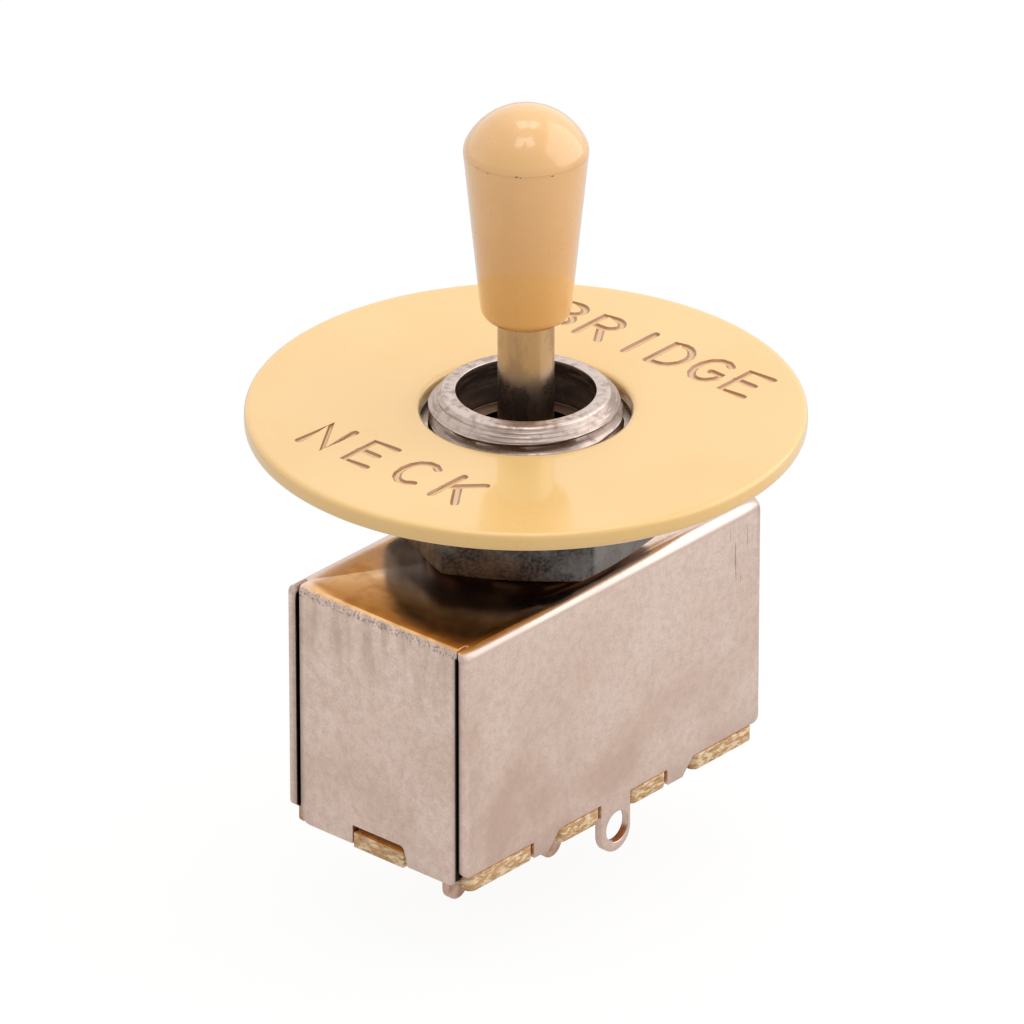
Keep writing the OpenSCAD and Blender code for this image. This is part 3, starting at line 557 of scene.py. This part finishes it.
# Painted shade: the thread from just under the disc downwards, as in the gap under the hexagon nut
grime_and_shade = maths(tree, "MAXIMUM", grime_and_shade, ramp(tree, z, 8.2, 7.4))
tint = blend(tree, grime_and_shade, tint, GRIME_AND_SHADE)
tree.links.new(tint, shader["Base Color"])
tree.links.new(ramp(tree, wear, 0.0, 1.0, 0.30, 0.42), shader["Roughness"])
turned = effect(tree, scratches, "Height", Spacing=0.12, Stretch=(0.02, 0.02, 1), Amount=0.4, Seed=1.0)
tree.links.new(bump(tree, turned, 0.02, 0.6), shader["Normal"])
bushing = mesh_piece("threaded_bushing", lathe(inner + outer_wall + mouth, 160, thread_radius),
                     bushing_metal, HOUSING)
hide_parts("bushing")


# Hexagon nut
# Dark oxidised steel as it came from the press, rough and mottled on its flats, with one flat given a
# lighter colour and a few bright scratches.
STEEL_DARK = srgb(54, 50, 48)
STEEL_RUBBED = srgb(118, 112, 108)
STEEL_LIGHTER = srgb(182, 172, 168)
STEEL_BRIGHT = srgb(190, 180, 172)

nut_steel, tree, shader = paint("nut_steel", Metallic=1.0)
x, y = axes(tree)[:2]
rub = effect(tree, patches, Size=1.4, Low=0.38, High=0.68, Seed=11.0)
grain = effect(tree, patches, Size=0.22, Low=0.35, High=0.65, Seed=13.0)
marks = effect(tree, scratches, Spacing=0.5, Stretch=(1.0, 0.3, 0.22), Amount=0.12, Seed=5.0)
tint = blend(tree, maths(tree, "MULTIPLY", rub, 0.6), STEEL_DARK, STEEL_RUBBED)
tint = blend(tree, maths(tree, "MULTIPLY", grain, 0.45), tint, STEEL_RUBBED)
# One flat given a lighter colour
lighter_flat = maths(tree, "MULTIPLY", ramp(tree, x, -2.7, -2.2), ramp(tree, y, 0.0, -3.0, 0.0, 0.35))
tint = blend(tree, lighter_flat, tint, STEEL_LIGHTER)
tint = blend(tree, maths(tree, "MULTIPLY", marks, 0.6), tint, STEEL_BRIGHT)
tree.links.new(tint, shader["Base Color"])
tree.links.new(ramp(tree, rub, 0.0, 1.0, 0.44, 0.32), shader["Roughness"])
tree.links.new(bump(tree, grain, 0.02, 0.5), shader["Normal"])
softened("hex_nut", "hexagon_nut", nut_steel, HOUSING, 0.08)


# Grip nut, toothed washer and the small steel parts inside
# Plated steel with a thin dull film, dark with painted shade at the rim of the round nut that the disc
# lies on, beyond 7 mm from the axis. The washer between the nuts, the cross pin and the click ball with
# its spring are the same.
PLATE_CLEAN = srgb(204, 192, 184)
PLATE_FILM = srgb(166, 152, 142)
PLATE_SHADE = srgb(84, 72, 64)

plated, tree, shader = paint("plated_steel", Metallic=1.0)
reach = axes(tree)[3]
film = effect(tree, patches, Size=1.6, Low=0.4, High=0.65, Seed=3.3)
tint = blend(tree, film, PLATE_CLEAN, PLATE_FILM)
# Painted shade: the round nut's rim under the disc
tint = blend(tree, ramp(tree, reach, 7.0, 7.8, 0.0, 0.85), tint, PLATE_SHADE)
tree.links.new(tint, shader["Base Color"])
tree.links.new(ramp(tree, film, 0.0, 1.0, 0.2, 0.34), shader["Roughness"])


def dress(node, material):
    """Gives a carried-over solid its material."""
    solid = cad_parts[node]
    solid.data.materials.clear()
    solid.data.materials.append(material)


for solid in ("ring_nut", "lock_washer", "pivot_pin", "click_ball", "click_spring"):
    dress(solid, plated)


# Disc
# Turned from thick cream plastic, aged to the colour of custard and still glossy. Two words are cut
# into its top by a round-nosed engraver, with brown left along the walls of the cut. They read with
# their tops towards the right. Dirt has caught along the lower edge.
DISC_R = 17.3
DISC_HOLE = 6.5
DISC_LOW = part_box("disc")[0].z / MM
DISC_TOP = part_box("disc")[1].z / MM
DISC_EDGE = 0.42
CREAM = srgb(249, 206, 134)
CREAM_DEEP = srgb(246, 201, 126)
CUT_WALL = srgb(168, 112, 62)
CUT_FLOOR = srgb(232, 184, 122)
DISC_DIRT = srgb(110, 78, 52)
LETTER_H = 2.95
LETTER_W = 0.64
CUT_R = 0.36
CUT_DEPTH = 0.16
WORDS = (("NECK", (-11.2, 0.9), 3.6), ("BRIDGE", (11.15, -0.9), 2.95))

disc_cream, tree, shader = paint("disc_cream", Coat_Weight=0.8, Coat_Roughness=0.05, IOR=1.5)
z, reach = axes(tree)[2:]
shade = effect(tree, patches, Size=9.0, Low=0.35, High=0.7, Seed=21.0)
tint = blend(tree, shade, CREAM, CREAM_DEEP)
on_face = effect(tree, band, Value=reach, Low=7.1, High=16.5, Soft=0.02)
sunk = ramp(tree, z, DISC_TOP - 0.006, DISC_TOP - 0.02)
above = ramp(tree, z, DISC_LOW + 0.6, DISC_LOW + 0.7)
cut = maths(tree, "MULTIPLY", maths(tree, "MULTIPLY", on_face, sunk), above)
deep = ramp(tree, z, DISC_TOP - 0.12, DISC_TOP - 0.14)
tint = blend(tree, cut, tint, blend(tree, deep, CUT_WALL, CUT_FLOOR))
dirt = effect(tree, specks, Size=0.9, Amount=0.06, Seed=8.0)
low_edge = maths(tree, "MULTIPLY", ramp(tree, z, DISC_LOW + 0.5, DISC_LOW + 0.15),
                 ramp(tree, reach, DISC_R - 0.5, DISC_R - 0.2))
tint = blend(tree, maths(tree, "MULTIPLY", dirt, low_edge), tint, DISC_DIRT)
tree.links.new(tint, shader["Base Color"])
tree.links.new(ramp(tree, shade, 0.0, 1.0, 0.24, 0.34), shader["Roughness"])
ripple = effect(tree, patches, Size=4.0, Low=0.2, High=0.8, Seed=2.2)
tree.links.new(bump(tree, ripple, 0.03, 0.12), shader["Normal"])


def bow(cx, cy, rx, ry, start, stop, steps=10):
    """Points along part of an ellipse, for the round strokes."""
    angles = [math.radians(start + (stop - start) * k / steps) for k in range(steps + 1)]
    return [(cx + rx * math.cos(a), cy + ry * math.sin(a)) for a in angles]


STROKES = {
    "N": [[(0, 0), (0, 1), (LETTER_W, 0), (LETTER_W, 1)]],
    "E": [[(0.58, 1), (0, 1), (0, 0), (0.6, 0)], [(0, 0.52), (0.46, 0.52)]],
    "C": [bow(0.36, 0.5, 0.36, 0.5, 52, 308)],
    "K": [[(0, 0), (0, 1)], [(0.6, 1), (0, 0.42)], [(0.2, 0.6), (0.64, 0)]],
    "B": [[(0, 0), (0, 1), (0.28, 1)] + bow(0.28, 0.76, 0.26, 0.24, 90, -90)[1:] + [(0, 0.52)],
          [(0.28, 0.52)] + bow(0.3, 0.26, 0.32, 0.26, 90, -90)[1:] + [(0, 0)]],
    "R": [[(0, 0), (0, 1), (0.3, 1)] + bow(0.3, 0.75, 0.28, 0.25, 90, -90)[1:] + [(0, 0.5)],
          [(0.28, 0.5), (0.62, 0)]],
    "I": [[(0.1, 0), (0.1, 1)]],
    "D": [[(0, 0), (0, 1), (0.2, 1)] + bow(0.2, 0.5, 0.44, 0.5, 90, -90)[1:] + [(0, 0)]],
    "G": [bow(0.36, 0.5, 0.36, 0.5, 52, 330) + [(0.67, 0.46), (0.4, 0.46)]],
}


def groove(bm, points, radius, sides=14):
    """Adds a round bar with rounded ends along a path, to be cut out of the top."""
    path = [Vector(p) for p in points]
    rings = []
    first, last = (path[0] - path[1]).normalized(), (path[-1] - path[-2]).normalized()
    stations = [(path[0] + first * radius * 0.9, 0.5), (path[0] + first * radius * 0.6, 0.85)]
    stations += [(p, 1.0) for p in path]
    stations += [(path[-1] + last * radius * 0.6, 0.85), (path[-1] + last * radius * 0.9, 0.5)]
    for i, (here, size) in enumerate(stations):
        ahead = stations[min(i + 1, len(stations) - 1)][0] - stations[max(i - 1, 0)][0]
        across = Vector((-ahead.y, ahead.x, 0)).normalized()
        rings.append([bm.verts.new(here + across * math.cos(2 * math.pi * k / sides) * radius * size
                                   + Vector((0, 0, math.sin(2 * math.pi * k / sides) * radius * size)))
                      for k in range(sides)])
    for low, high in zip(rings, rings[1:]):
        for k in range(sides):
            bm.faces.new((low[k], low[(k + 1) % sides], high[(k + 1) % sides], high[k]))
    bm.faces.new(rings[0][::-1])
    bm.faces.new(rings[-1])


def engrave(bm, word, centre, pitch):
    """Strokes of a word that reads along -Y, with its letters' tops towards +X."""
    for n, letter in enumerate(word):
        wide = max(x for stroke in STROKES[letter] for x, _ in stroke)
        for stroke in STROKES[letter]:
            path = []
            for u, v in stroke:
                along = (n - (len(word) - 1) / 2) * pitch + (u - wide / 2) * LETTER_H
                path.append(((centre[0] + (v - 0.5) * LETTER_H) * MM, (centre[1] - along) * MM,
                             (DISC_TOP + CUT_R - CUT_DEPTH) * MM))
            groove(bm, path, CUT_R * MM)


edges = rounded([(DISC_HOLE, DISC_LOW), (DISC_R, DISC_LOW), (DISC_R, DISC_TOP), (DISC_HOLE, DISC_TOP)],
                DISC_EDGE, 6)
flats = [(DISC_R - 2 * DISC_EDGE, DISC_TOP), (DISC_HOLE + 2 * DISC_EDGE, DISC_TOP)]
disc = mesh_piece("label_disc", lathe(edges[:21] + flats + edges[21:], 192), disc_cream,
                  HOUSING)
bm = bmesh.new()
for word, centre, pitch in WORDS:
    engrave(bm, word, centre, pitch)
cutter = mesh_piece("engraver", bm, disc_cream, None)
cutting = disc.modifiers.new("engraving", "BOOLEAN")
cutting.operation = "DIFFERENCE"
cutting.solver = "EXACT"
cutting.use_self = True
cutting.object = cutter
bpy.context.view_layer.update()
engraved = bpy.data.meshes.new_from_object(disc.evaluated_get(bpy.context.evaluated_depsgraph_get()))
disc.modifiers.clear()
disc.data = engraved
engraved.set_sharp_from_angle(angle=math.radians(30))
bpy.data.objects.remove(cutter)
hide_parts("disc")


# Lever
# A turned steel shaft with a ball for its cross pin, polished, and dulled by handling. Towards the
# bushing it is darker, a painted reflection of the dark bore.
LEVER_STEEL = srgb(184, 168, 148)
LEVER_FILM = srgb(158, 136, 112)
LEVER_BORE_REFLECTION = srgb(160, 144, 132)

lever_steel, tree, shader = paint("lever_steel", Metallic=1.0)
z = axes(tree)[2]
film = effect(tree, patches, Size=0.9, Low=0.42, High=0.7, Seed=14.0, Stretch=(1, 1, 0.5))
# Painted reflection: darker towards the bushing's dark bore
away_from_bore = ramp(tree, z, 9.0, 13.0)
tint = blend(tree, away_from_bore, LEVER_BORE_REFLECTION, LEVER_STEEL)
tint = blend(tree, maths(tree, "MULTIPLY", film, 0.5), tint, LEVER_FILM)
tree.links.new(tint, shader["Base Color"])
tree.links.new(ramp(tree, film, 0.0, 1.0, 0.26, 0.36), shader["Roughness"])
drawn = effect(tree, scratches, "Height", Spacing=0.1, Stretch=(1, 1, 0.05), Amount=0.3, Seed=12.0)
tree.links.new(bump(tree, drawn, 0.004, 0.3), shader["Normal"])
dress("lever", lever_steel)


# Knob
# Cream plastic, moulded as a tapered barrel with a domed top, and browned with age. A fine parting
# line with dark specks in it runs round under the dome.
LEVER = "lever"
KNOB_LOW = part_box("knob")[0].z / MM
KNOB_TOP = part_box("knob")[1].z / MM
KNOB_FOOT_R = 2.82
KNOB_TOP_R = 3.84
DOME_H = 2.86
SHOULDER_R = 1.2
FOOT_EDGE_R = 0.95
STUD_BORE_R = 1.54
STUD_BORE_H = 8.3
SHAFT_BORE_R = 1.79
SHAFT_BORE_H = 0.84
SEAM_DEPTH = 0.02
SEAM_HALF = 0.06
KNOB_CREAM = srgb(248, 197, 132)
KNOB_DEEP = srgb(240, 186, 120)
KNOB_TOWARDS_FOOT = srgb(228, 172, 100)
SEAM_BROWN = srgb(112, 76, 46)

knob_cream, tree, shader = paint("knob_cream", Coat_Weight=1.0, Coat_Roughness=0.035, IOR=1.5,
                                 Subsurface_Weight=0.15, Subsurface_Scale=0.003)
shader["Subsurface Radius"].default_value = (1.0, 0.55, 0.25)
z = axes(tree)[2]
shade = effect(tree, patches, Size=5.0, Low=0.35, High=0.7, Seed=31.0)
seam_z = KNOB_TOP - DOME_H
at_seam = effect(tree, band, Value=z, Low=seam_z - 0.05, High=seam_z + 0.05, Soft=0.05)
dirt = effect(tree, specks, Size=0.55, Amount=0.26, Seed=6.0)
tint = blend(tree, shade, KNOB_CREAM, KNOB_DEEP)
# Darker and browner towards the foot
tint = blend(tree, ramp(tree, z, seam_z, KNOB_LOW, 0.0, 0.8), tint, KNOB_TOWARDS_FOOT)
tint = blend(tree, maths(tree, "MULTIPLY", at_seam, 0.1), tint, SEAM_BROWN)
tint = blend(tree, maths(tree, "MULTIPLY", at_seam, dirt), tint, SEAM_BROWN)
tree.links.new(tint, shader["Base Color"])
tree.links.new(ramp(tree, shade, 0.0, 1.0, 0.24, 0.32), shader["Roughness"])

shoulder_x = KNOB_TOP_R - SHOULDER_R
dome_r = (shoulder_x ** 2 + DOME_H ** 2 - SHOULDER_R ** 2) / (2 * (DOME_H - SHOULDER_R))
dome_z = KNOB_TOP - dome_r
meet = math.atan2(seam_z - dome_z, shoulder_x)
lean = math.atan2(KNOB_TOP_R - KNOB_FOOT_R, seam_z - KNOB_LOW)
foot_x = KNOB_FOOT_R - FOOT_EDGE_R
barrel = [(0, KNOB_LOW + STUD_BORE_H), (STUD_BORE_R, KNOB_LOW + STUD_BORE_H),
          (STUD_BORE_R, KNOB_LOW + SHAFT_BORE_H), (SHAFT_BORE_R, KNOB_LOW + SHAFT_BORE_H),
          (SHAFT_BORE_R, KNOB_LOW)]
barrel += [(foot_x + FOOT_EDGE_R * math.cos(a), KNOB_LOW + FOOT_EDGE_R * (1 + math.sin(a)))
           for a in [-math.pi / 2 + (math.pi / 2 - lean) * k / 10 for k in range(11)]]
low_end = barrel[-1]
high_end = (shoulder_x + SHOULDER_R * math.cos(lean), seam_z - SHOULDER_R * math.sin(lean))
barrel += [(low_end[0] + (high_end[0] - low_end[0]) * k / 12,
            low_end[1] + (high_end[1] - low_end[1]) * k / 12) for k in range(1, 12)]
barrel += [high_end, (KNOB_TOP_R, seam_z - SEAM_HALF), (KNOB_TOP_R - SEAM_DEPTH, seam_z),
           (KNOB_TOP_R, seam_z + SEAM_HALF)]
barrel += [(shoulder_x + SHOULDER_R * math.cos(a), seam_z + SHOULDER_R * math.sin(a))
           for a in [0.1 + (meet - 0.1) * k / 16 for k in range(17)]]
barrel += [(dome_r * math.cos(a), dome_z + dome_r * math.sin(a))
           for a in [meet + (math.pi / 2 - meet) * k / 14 for k in range(1, 14)]] + [(0, KNOB_TOP)]
knob = mesh_piece("knob_tip", lathe(barrel, 128, closed=False), knob_cream, LEVER)
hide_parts("knob")


# Terminal board
# Stamped from tan paper laminate. Its faces are smooth brown, and the torn edges that show between
# the feet are pale and rough, with darker fibres.
LAMINATE_EDGE = srgb(250, 222, 180)
LAMINATE_TORN = srgb(200, 150, 98)
LAMINATE_FIBRE = srgb(150, 100, 56)
LAMINATE_FACE = srgb(214, 140, 70)

laminate, tree, shader = paint("board_laminate", IOR=1.5)
fibre = effect(tree, scratches, Spacing=0.3, Stretch=(0.5, 0.5, 2.2), Amount=0.5, Seed=9.0)
torn = effect(tree, patches, Size=0.4, Low=0.4, High=0.58, Seed=12.0, Stretch=(0.6, 0.6, 1.6))
upright = add(tree, "ShaderNodeSeparateXYZ", {0: add(tree, "ShaderNodeNewGeometry").outputs["Normal"]})
is_face = ramp(tree, maths(tree, "ABSOLUTE", upright.outputs["Z"]), 0.7, 0.95)
tint = blend(tree, maths(tree, "MULTIPLY", torn, 0.85), LAMINATE_EDGE, LAMINATE_TORN)
tint = blend(tree, maths(tree, "MULTIPLY", fibre, 0.7), tint, LAMINATE_FIBRE)
tint = blend(tree, is_face, tint, LAMINATE_FACE)
tree.links.new(tint, shader["Base Color"])
tree.links.new(ramp(tree, torn, 0.0, 1.0, 0.5, 0.75), shader["Roughness"])
tree.links.new(bump(tree, torn, 0.08, 0.7), shader["Normal"])
softened("terminal_board", "laminate_board", laminate, HOUSING, EDGE_BREAK)


# Terminals
# Stamped from tinned copper alloy, headed over on the board to make the contact pads. The solder
# lugs below have a wire hole and a pinkish, hand-dulled face. The clip and its rivets are the same.
LUG_TIN = srgb(224, 190, 170)
LUG_COPPER = srgb(190, 150, 130)

lug_metal, tree, shader = paint("lug_metal", Metallic=1.0)
film = effect(tree, patches, Size=0.9, Low=0.4, High=0.65, Seed=17.0)
tree.links.new(blend(tree, film, LUG_TIN, LUG_COPPER), shader["Base Color"])
tree.links.new(ramp(tree, film, 0.0, 1.0, 0.3, 0.45), shader["Roughness"])
for n in range(1, 5):
    softened(f"terminal_{n}", f"solder_lug_{n}", lug_metal, HOUSING, EDGE_BREAK)
for solid in ("contact_clip", "clip_rivets"):
    dress(solid, lug_metal)


# Slider and guide frame
# Moulded plastic inside the case with a matt skin, coloured near-black as painted shade for the dark
# inside.
# The slider runs between the frame's rails, and the ball at the foot of the lever pushes it to and fro.
INTERIOR_SHADE_BLACK = srgb(44, 41, 39)
INTERIOR_SHADE_PATCH = srgb(66, 61, 57)

interior_shade_moulding, tree, shader = paint("interior_shade_moulding", IOR=1.5)
shade = effect(tree, patches, Size=3.0, Low=0.4, High=0.7, Seed=41.0)
# Painted shade: near-black for the dark inside of the case
tree.links.new(blend(tree, shade, INTERIOR_SHADE_BLACK, INTERIOR_SHADE_PATCH), shader["Base Color"])
tree.links.new(ramp(tree, shade, 0.0, 1.0, 0.45, 0.6), shader["Roughness"])
for solid in ("guide_frame", "slider"):
    dress(solid, interior_shade_moulding)
